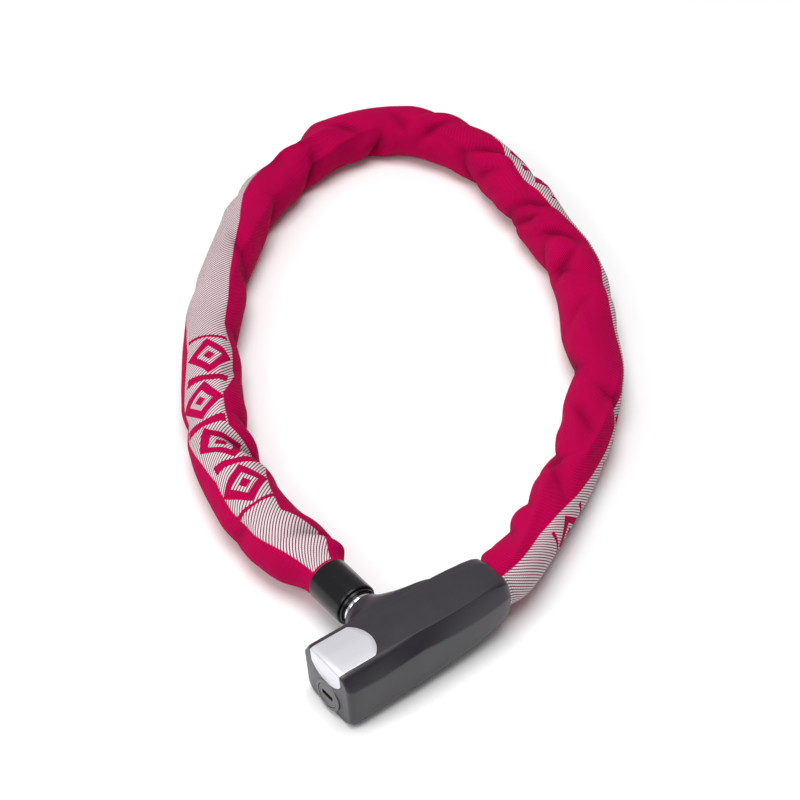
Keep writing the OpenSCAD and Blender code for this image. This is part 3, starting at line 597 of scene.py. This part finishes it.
# %% Covers and badge
BADGE_GAP, SEAM_Z, SEAM_GAP = 0.28, 4.0, 0.06
KEY_Z = 11.4
CAVITY = [(-12.4, 2.1), (12.4, 2.1), (14.5, 4.6), (14.5, 25), (10.1, 30.1), (-10.1, 30.1), (-14.5, 25),
          (-14.5, 4.6)]
body = boolean(body_solid("body_outline"), port_solid("port"), "UNION")
print("body with its port:", len(body.data.polygons), "faces")
badge = boolean(body_solid("badge_outline"), badge_cutters(0.0), "INTERSECT")
badge = clean_up(badge, "bent_badge", bevel_mm=0.22)
boolean(body, badge_cutters(BADGE_GAP), "DIFFERENCE")
boolean(body, prism("cavity", CAVITY, -46.6, 14.1, "yz"), "DIFFERENCE")
boolean(body, rod("bore", (BOLT_X, 0, BOLT_Z), (0, 1, 0), 9.0, 40), "DIFFERENCE")
boolean(body, rod("mouth", (0.013, 0, MOUTH_Z), (1, 0, 0), 13.3, 50), "DIFFERENCE")
boolean(body, rod("key_hole", (-0.060, 0, 0.0114), (1, 0, 0), 9.05, 15), "DIFFERENCE")
low_body = body.copy()
low_body.data = body.data.copy()
bpy.context.scene.collection.objects.link(low_body)
box_all = [(-80, -60), (80, -60), (80, 60), (-80, 60)]
boolean(body, prism("under", box_all, -10, SEAM_Z + SEAM_GAP), "DIFFERENCE")
boolean(low_body, prism("over", box_all, SEAM_Z - SEAM_GAP, 60), "DIFFERENCE")
for x, y in ((-36, -10.4), (-36, 10.4), (8, -10.4), (8, 10.4)):
    screw_hole = rod("screw_hole", (x * MM, y * MM, -0.001), (0, 0, 1), 3.0, 4.0, steps=32)
    boolean(low_body, screw_hole, "DIFFERENCE")
body = clean_up(body, "moulded_upper_cover")
low_body = clean_up(low_body, "moulded_lower_cover")
print("body faces:", len(body.data.polygons), len(low_body.data.polygons), len(badge.data.polygons))


# %% [markdown]
# ## Bolt end and keyhole
# The ferrule is a turned plastic cup that hides the chain's clevis and grips the sleeve. A chromed collar
# stops it against the body. On the key face, a plain ring guards the turning barrel and its keyway.

# %% Turned pieces
AT_BOLT = (BOLT_X, 0, BOLT_Z)
AT_KEY = (0, 0, 0.0114)  # KEY_Z in metres
COLLAR_Y, FERRULE_Y, FERRULE_END = 27.9, 30.6, 56.0
ferrule = turned("ferrule_cup", [
    (FERRULE_Y, 6.1), (FERRULE_Y, 9.9), (FERRULE_Y + 0.25, 10.35), (FERRULE_Y + 0.9, 10.5),
    (FERRULE_Y + 1.5, 10.55), (FERRULE_Y + 1.62, 10.7), (FERRULE_Y + 1.66, 11.3),
    (FERRULE_Y + 2.0, 11.65), (FERRULE_Y + 2.6, 11.78),
    (FERRULE_Y + 3.4, 11.8), (FERRULE_END - 1.0, 11.8), (FERRULE_END - 0.35, 11.7), (FERRULE_END, 11.3),
    (FERRULE_END, 10.7), (FERRULE_END - 0.4, 10.6), (FERRULE_Y + 2.0, 10.6), (FERRULE_Y + 2.0, 6.1),
], AT_BOLT, (0, 1, 0))
collar = turned("chrome_collar", [
    (COLLAR_Y, 6.03), (COLLAR_Y, 8.9), (COLLAR_Y + 0.15, 9.2), (COLLAR_Y + 0.4, 9.3), (COLLAR_Y + 0.9, 9.3),
    (COLLAR_Y + 1.0, 9.05), (COLLAR_Y + 1.2, 9.05), (COLLAR_Y + 1.3, 9.3), (COLLAR_Y + 1.8, 9.3),
    (COLLAR_Y + 2.1, 9.2), (COLLAR_Y + 2.7, 8.6), (COLLAR_Y + 2.7, 6.03),
], AT_BOLT, (0, 1, 0))
key_ring = turned("keyhole_guard", [
    (-51.4, 7.15), (-51.4, 8.45), (-51.3, 8.75), (-51.0, 8.95), (-48.1, 9.0), (-48.1, 7.06), (-50.9, 7.06),
    (-51.25, 7.08),
], AT_KEY, (1, 0, 0))
barrel_face = turned("barrel_face", [
    (-50.9, 0), (-50.9, 6.75), (-51.15, 6.75), (-51.3, 6.55), (-51.3, 5.7), (-51.15, 5.5), (-51.15, 0),
], AT_KEY, (1, 0, 0))
slot_outline = [(y, KEY_Z + z) for y, z in ((-4.1, -1.2), (-3.9, -1.4), (3.9, -1.4), (4.1, -1.2),
                                           (4.1, 1.2), (3.9, 1.4), (-3.9, 1.4), (-4.1, 1.2))]
boolean(barrel_face, prism("key_slot", slot_outline, -54, -49, "yz"), "DIFFERENCE")
barrel_face = clean_up(barrel_face, "barrel_face")
for made, stands_for, rides_on, finish_slot in (
    (body, ["upper_cover"], "lock_body", "body_plastic"),
    (low_body, ["lower_cover"], "lock_body", "body_plastic"),
    (badge, ["silver_badge"], "lock_body", "badge_metal"),
    (ferrule, ["ferrule"], "bolt_end", "ferrule_plastic"),
    (collar, ["bolt_collar"], "bolt_end", "collar_chrome"),
    (key_ring, ["keyhole_ring"], "lock_body", "ring_metal"),
    (barrel_face, ["barrel_cap"], "key_barrel", "ring_metal"),
):
    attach(made, rides_on)
    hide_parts(*stands_for)
    print(made.name, "faces:", len(made.data.polygons))

# %% [markdown]
# ## Materials
# Shared effects are node groups, so every finish that needs them says how strongly it uses them. A few
# short functions make the nodes.

# %% Node tools
def add(tree, kind, inputs=None, **settings):
    """A node with its settings, and inputs that are values or other nodes' sockets."""
    node = tree.nodes.new(kind)
    for key, value in settings.items():
        setattr(node, key, value)
    for key, value in (inputs or {}).items():
        if isinstance(value, bpy.types.NodeSocket):
            tree.links.new(value, node.inputs[key])
        else:
            node.inputs[key].default_value = value
    return node


def math_node(tree, operation, a, b=None, c=None):
    inputs = {0: a}
    if b is not None:
        inputs[1] = b
    if c is not None:
        inputs[2] = c
    return add(tree, "ShaderNodeMath", inputs, operation=operation).outputs[0]


def blend_value(tree, factor, a, b):
    return add(tree, "ShaderNodeMix", {0: factor, 2: a, 3: b}, data_type="FLOAT").outputs[0]


def blend_colour(tree, factor, a, b):
    return add(tree, "ShaderNodeMix", {0: factor, 6: a, 7: b}, data_type="RGBA").outputs[2]


def group(name, sockets_in, sockets_out):
    tree = bpy.data.node_groups.new(name, "ShaderNodeTree")
    for label, kind, value in sockets_in:
        socket = tree.interface.new_socket(label, in_out="INPUT", socket_type=kind)
        if value is not None:
            socket.default_value = value
    for label, kind in sockets_out:
        tree.interface.new_socket(label, in_out="OUTPUT", socket_type=kind)
    return tree, tree.nodes.new("NodeGroupInput"), tree.nodes.new("NodeGroupOutput")


FLOAT, VECTOR, COLOUR = "NodeSocketFloat", "NodeSocketVector", "NodeSocketColor"

# %% [markdown]
# Grain is the fine unevenness that every real surface has: a mottle in the colour, a change in the gloss
# and a little relief. Its scale is in features per metre.

# %% Grain group
grain_tree, g_in, g_out = group(
    "surface_grain",
    [("Vector", VECTOR, None), ("Scale", FLOAT, 900.0), ("Mottle", FLOAT, 0.06),
     ("Gloss Change", FLOAT, 0.08)],
    [("Shade", FLOAT), ("Gloss", FLOAT), ("Height", FLOAT)],
)
fine = add(grain_tree, "ShaderNodeTexNoise",
           {"Vector": g_in.outputs[0], "Scale": g_in.outputs[1], "Detail": 3.0})
broad_scale = math_node(grain_tree, "MULTIPLY", g_in.outputs[1], 0.06)
broad = add(grain_tree, "ShaderNodeTexNoise",
            {"Vector": g_in.outputs[0], "Scale": broad_scale, "Detail": 2.0})
centred = math_node(grain_tree, "SUBTRACT", broad.outputs[0], 0.5)
shade = math_node(grain_tree, "MULTIPLY_ADD", centred, g_in.outputs[2], 1.0)
gloss = math_node(grain_tree, "MULTIPLY", centred, g_in.outputs[3])
grain_tree.links.new(shade, g_out.inputs[0])
grain_tree.links.new(gloss, g_out.inputs[1])
grain_tree.links.new(fine.outputs[0], g_out.inputs[2])

# %% [markdown]
# The sleeve is a heavy twill. Its ribs run at forty-five degrees to the tube, with thinner picks across
# them. In the stripe the ribs are reflective yarn on a red ground, so the ground shows between them.

# %% Twill group
twill_tree, t_in, t_out = group(
    "twill_ribs",
    [("Cloth", VECTOR, None), ("Ribs Round Tube", FLOAT, 47.0), ("Ribs Per Metre", FLOAT, 470.0),
     ("Picks Per Metre", FLOAT, 1250.0)],
    [("Rib", FLOAT), ("Pick", FLOAT), ("Height", FLOAT)],
)
parts = add(twill_tree, "ShaderNodeSeparateXYZ", {0: t_in.outputs[0]}).outputs
round_tube = math_node(twill_tree, "MULTIPLY", parts[0], 1 / GIRTH)
rib_phase = math_node(twill_tree, "MULTIPLY", round_tube, t_in.outputs[1])
rib_phase = math_node(twill_tree, "MULTIPLY_ADD", parts[1], t_in.outputs[2], rib_phase)
rib_wave = math_node(twill_tree, "SINE", math_node(twill_tree, "MULTIPLY", rib_phase, 2 * math.pi))
rib = math_node(twill_tree, "MULTIPLY_ADD", rib_wave, 0.5, 0.5)
pick_phase = math_node(twill_tree, "MULTIPLY", parts[1], t_in.outputs[3])
pick_wave = math_node(twill_tree, "SINE", math_node(twill_tree, "MULTIPLY", pick_phase, 2 * math.pi))
pick = math_node(twill_tree, "MULTIPLY_ADD", pick_wave, 0.5, 0.5)
height = math_node(twill_tree, "MULTIPLY_ADD", pick, 0.3, rib)
twill_tree.links.new(rib, t_out.inputs[0])
twill_tree.links.new(pick, t_out.inputs[1])
twill_tree.links.new(height, t_out.inputs[2])


def grain(tree, scale, mottle, gloss_change, vector=None):
    if vector is None:
        vector = add(tree, "ShaderNodeTexCoord").outputs["Object"]
    node = add(tree, "ShaderNodeGroup", node_tree=grain_tree)
    tree.links.new(vector, node.inputs["Vector"])
    for label, value in (("Scale", scale), ("Mottle", mottle), ("Gloss Change", gloss_change)):
        node.inputs[label].default_value = value
    return node


def solid_material(name, colour, roughness, metallic=0.0, specular=0.5, scale=1500.0, mottle=0.1,
                   gloss_change=0.1, bump=0.00002, stretch=None):
    """A finish with grain in colour, gloss and relief. stretch draws the grain out, as brushing does."""
    mat = bpy.data.materials.new(name)
    mat.use_nodes = True
    tree = mat.node_tree
    shader = tree.nodes["Principled BSDF"]
    vector = add(tree, "ShaderNodeTexCoord").outputs["Object"]
    if stretch:
        vector = add(tree, "ShaderNodeVectorMath", {0: vector, 1: stretch}, operation="MULTIPLY").outputs[0]
    node = grain(tree, scale, mottle, gloss_change, vector)
    base = add(tree, "ShaderNodeVectorMath", {0: colour, "Scale": node.outputs["Shade"]}, operation="SCALE")
    tree.links.new(base.outputs[0], shader.inputs["Base Color"])
    tree.links.new(math_node(tree, "ADD", node.outputs["Gloss"], roughness), shader.inputs["Roughness"])
    shader.inputs["Metallic"].default_value = metallic
    shader.inputs["Specular IOR Level"].default_value = specular
    relief = add(tree, "ShaderNodeBump",
                 {"Height": node.outputs["Height"], "Distance": bump, "Strength": 0.5})
    tree.links.new(relief.outputs[0], shader.inputs["Normal"])
    return mat


def dress(obj, mat):
    obj.data.materials.clear()
    obj.data.materials.append(mat)

# %% [markdown]
# ## Sleeve finish
# The motif woven into the stripe is plain geometry: a row of open lozenges with a bar between them, in the
# red of the ground, in a few stretches with plain silver between them.

# %% Sleeve material
MOTIF_STRETCHES = [(0.052, 0.188), (0.494, 0.562), (0.698, 0.766), (0.800, 0.834)]
MOTIF_START, MOTIF_CELL = 0.052, 0.034
LOZENGE_LONG, LOZENGE_HALF_M = 2.5, 0.0122  # slope along a cell, half width across the stripe
RING_AT, RING_HALF, DOT_R = 0.80, 0.24, 0.26  # the lozenge's outline and its filled middle
BAR_HALF, BAR_BEND, BAR_REACH_M = 0.055, -3.0, 0.0115
EDGE_SOFT_M = 0.0003  # half width of the stripe's soft edge


def sleeve_material():
    mat = bpy.data.materials.new("woven_sleeve")
    mat.use_nodes = True
    tree = mat.node_tree
    shader = tree.nodes["Principled BSDF"]
    cloth_uv = add(tree, "ShaderNodeUVMap", uv_map="cloth").outputs[0]
    twill = add(tree, "ShaderNodeGroup", node_tree=twill_tree)
    tree.links.new(cloth_uv, twill.inputs["Cloth"])
    ground = add(tree, "ShaderNodeGroup", node_tree=twill_tree)
    tree.links.new(cloth_uv, ground.inputs["Cloth"])
    ground.inputs["Ribs Round Tube"].default_value = 80
    ground.inputs["Ribs Per Metre"].default_value = 800
    stripe = add(tree, "ShaderNodeAttribute", attribute_name="stripe")
    place = add(tree, "ShaderNodeSeparateXYZ", {0: stripe.outputs["Vector"]}).outputs
    across_m, along_m, edge_m = place[0], place[1], place[2]
    in_stripe = add(tree, "ShaderNodeMapRange",
                    {0: edge_m, 1: -EDGE_SOFT_M, 2: EDGE_SOFT_M, 3: 0.0, 4: 1.0}).outputs[0]
    node = grain(tree, 420.0, 0.25, 0.12)

    cell = math_node(tree, "DIVIDE", math_node(tree, "SUBTRACT", along_m, MOTIF_START), MOTIF_CELL)
    local = math_node(tree, "SUBTRACT", math_node(tree, "FRACT", cell), 0.5)
    off_middle = math_node(tree, "ABSOLUTE", across_m)
    lengthwise = math_node(tree, "MULTIPLY", math_node(tree, "ABSOLUTE", local), LOZENGE_LONG)
    lozenge = math_node(tree, "ADD", lengthwise, math_node(tree, "DIVIDE", off_middle, LOZENGE_HALF_M))
    ring = math_node(tree, "COMPARE", lozenge, RING_AT, RING_HALF)
    dot = math_node(tree, "LESS_THAN", lozenge, DOT_R)
    bar_at = math_node(tree, "SUBTRACT", 0.5, math_node(tree, "ABSOLUTE", local))
    bar_bend = math_node(tree, "MULTIPLY_ADD", off_middle, BAR_BEND, bar_at)
    bar = math_node(tree, "LESS_THAN", math_node(tree, "ABSOLUTE", bar_bend), BAR_HALF)
    bar = math_node(tree, "MULTIPLY", bar, math_node(tree, "LESS_THAN", off_middle, BAR_REACH_M))
    motif = math_node(tree, "MAXIMUM", math_node(tree, "MAXIMUM", ring, dot), bar)
    where = None
    for low, high in MOTIF_STRETCHES:
        here = math_node(tree, "COMPARE", along_m, (low + high) / 2, (high - low) / 2)
        where = here if where is None else math_node(tree, "MAXIMUM", where, here)
    motif = math_node(tree, "MULTIPLY", motif, where)
    plain_silver = math_node(tree, "SUBTRACT", 1.0, motif)
    silver = math_node(tree, "MULTIPLY", in_stripe, plain_silver)

    rib, pick = twill.outputs["Rib"], twill.outputs["Pick"]
    red = blend_colour(tree, ground.outputs["Rib"], (0.22, 0.0004, 0.030, 1), (0.60, 0.0012, 0.088, 1))
    yarn = add(tree, "ShaderNodeMapRange", {0: rib, 1: 0.22, 2: 0.50, 3: 0.0, 4: 1.0}).outputs[0]
    grey = blend_colour(tree, pick, (0.56, 0.49, 0.51, 1), (0.80, 0.73, 0.75, 1))
    stripe_colour = blend_colour(tree, yarn, (0.17, 0.018, 0.045, 1), grey)
    colour = blend_colour(tree, silver, red, stripe_colour)
    # Painted shade: the colour is darkened down to half in the deepest creases, on top of the grain's mottle.
    crease_shade_at = add(tree, "ShaderNodeAttribute", attribute_name="crease_shade_depth").outputs["Fac"]
    painted_crease_shade = add(tree, "ShaderNodeMapRange",
                  {0: crease_shade_at, 1: 0.0004, 2: 0.0034, 3: 1.0, 4: 0.50}).outputs[0]
    mottle_and_crease_shade = math_node(tree, "MULTIPLY", node.outputs["Shade"], painted_crease_shade)
    shaded = add(tree, "ShaderNodeVectorMath", {0: colour, "Scale": mottle_and_crease_shade}, operation="SCALE")
    tree.links.new(shaded.outputs[0], shader.inputs["Base Color"])
    rough = blend_value(tree, silver, 0.82, 0.48)
    tree.links.new(math_node(tree, "ADD", node.outputs["Gloss"], rough), shader.inputs["Roughness"])
    shader.inputs["Specular IOR Level"].default_value = 0.03
    shader.inputs["Sheen Weight"].default_value = 0.03
    shader.inputs["Sheen Tint"].default_value = (1.0, 0.2, 0.45, 1)
    red_height = math_node(tree, "MULTIPLY", ground.outputs["Height"], 0.9)
    ribs = blend_value(tree, silver, red_height, twill.outputs["Height"])
    relief = add(tree, "ShaderNodeBump", {"Height": ribs, "Distance": 0.00018, "Strength": 0.6})
    tree.links.new(relief.outputs[0], shader.inputs["Normal"])
    return mat


dress(sleeve, sleeve_material())
print("sleeve material nodes:", len(sleeve.data.materials[0].node_tree.nodes))

# %% [markdown]
# ## Hard finishes
# The covers are satin black nylon with a fine spark-eroded texture. The badge is anodised aluminium brushed
# along its length. Turned steel, brass, cast zinc and chrome differ in colour, gloss and grain direction.

# %% Hard materials
FINISHES = {
    "body_plastic": dict(colour=(0.026, 0.021, 0.030), roughness=0.34, scale=2600.0, mottle=0.3,
                         gloss_change=0.08, bump=0.00003),
    "ferrule_plastic": dict(colour=(0.005, 0.004, 0.006), roughness=0.24, specular=0.32, scale=1200.0,
                            gloss_change=0.08, bump=0.00001),
    "badge_metal": dict(colour=(0.76, 0.75, 0.80), roughness=0.36, metallic=0.7, scale=900.0,
                        stretch=(0.12, 1.6, 1.6), mottle=0.12, gloss_change=0.1, bump=0.00001),
    "bright_steel": dict(colour=(0.60, 0.60, 0.61), roughness=0.3, metallic=1.0, stretch=(1.0, 1.0, 0.15)),
    "case_zinc": dict(colour=(0.40, 0.40, 0.41), roughness=0.5, metallic=0.9, scale=700.0, mottle=0.25),
    "brass": dict(colour=(0.30, 0.22, 0.11), roughness=0.35, metallic=1.0, stretch=(0.15, 1.0, 1.0)),
    "ring_metal": dict(colour=(0.16, 0.155, 0.165), roughness=0.4, metallic=0.8, scale=1400.0, mottle=0.2),
    "seal_rubber": dict(colour=(0.014, 0.014, 0.014), roughness=0.6, scale=1800.0),
    "chain_steel": dict(colour=(0.44, 0.43, 0.41), roughness=0.42, metallic=1.0, scale=600.0, mottle=0.35),
    "collar_chrome": dict(colour=(0.85, 0.85, 0.87), roughness=0.08, metallic=1.0, scale=800.0,
                          gloss_change=0.06, bump=0.000004),
}
materials = {name: solid_material(name, **settings) for name, settings in FINISHES.items()}
for made, finish_slot in ((body, "body_plastic"), (low_body, "body_plastic"), (badge, "badge_metal"),
                          (ferrule, "ferrule_plastic"), (collar, "collar_chrome"), (key_ring, "ring_metal"),
                          (barrel_face, "ring_metal")):
    dress(made, materials[finish_slot])
replaced = {"upper_cover", "lower_cover", "silver_badge", "ferrule", "bolt_collar", "keyhole_ring",
            "barrel_cap", "chain_sleeve"}
for part in frame["record"]["subparts"]:
    if part["node"] not in replaced:
        dress(frame["nodes"][part["node"]], materials[part["material_slot"]])
print("hard materials:", len(materials))

# %% [markdown]
# ## Floor and light
# A white sweep and a large soft light from above give a pale shadow. The world is dim behind the camera and
# brighter beyond the lock, which keeps the faces that look towards the camera dark.

# %% Stage
def light(name, at, aim, size, power):
    data = bpy.data.lights.new(name, "AREA")
    data.shape, data.size, data.energy = "DISK", size, power
    obj = bpy.data.objects.new(name, data)
    bpy.context.scene.collection.objects.link(obj)
    obj.location = at
    obj.rotation_euler = (Vector(aim) - Vector(at)).to_track_quat("-Z", "Y").to_euler()
    return obj


bm = bmesh.new()
bmesh.ops.create_grid(bm, x_segments=2, y_segments=2, size=6)
floor_mesh = bpy.data.meshes.new("floor")
bm.to_mesh(floor_mesh)
bm.free()
floor = new_object("floor", floor_mesh)
floor_mat = bpy.data.materials.new("floor")
floor_mat.use_nodes = True
floor_shader = floor_mat.node_tree.nodes["Principled BSDF"]
floor_shader.inputs["Base Color"].default_value = (0.96, 0.96, 0.965, 1)
floor_shader.inputs["Roughness"].default_value = 0.7
floor_shader.inputs["Specular IOR Level"].default_value = 0.1
dress(floor, floor_mat)
light("top_light", (-0.05, 0.05, 1.9), (0.1, 0.15, 0), 1.5, 30)
light("left_light", (-1.5, 0.3, 1.3), (0.1, 0.1, 0), 1.0, 11)
light("front_light", (-1.2, -0.9, 1.3), (0.1, 0.1, 0), 0.9, 6)
world = bpy.data.worlds.new("studio")
bpy.context.scene.world = world
world.use_nodes = True
sky = world.node_tree
looking_at = add(sky, "ShaderNodeTexCoord").outputs["Generated"]
heading_out = add(sky, "ShaderNodeSeparateXYZ", {0: looking_at}).outputs
sky_glow = add(sky, "ShaderNodeMapRange", {0: heading_out[1], 1: -0.5, 2: 0.4, 3: 0.10, 4: 0.44}).outputs[0]
sky.links.new(sky_glow, sky.nodes["Background"].inputs[1])
sky.nodes["Background"].inputs[0].default_value = (1, 1, 1, 1)
bpy.context.scene.view_settings.view_transform = "Standard"
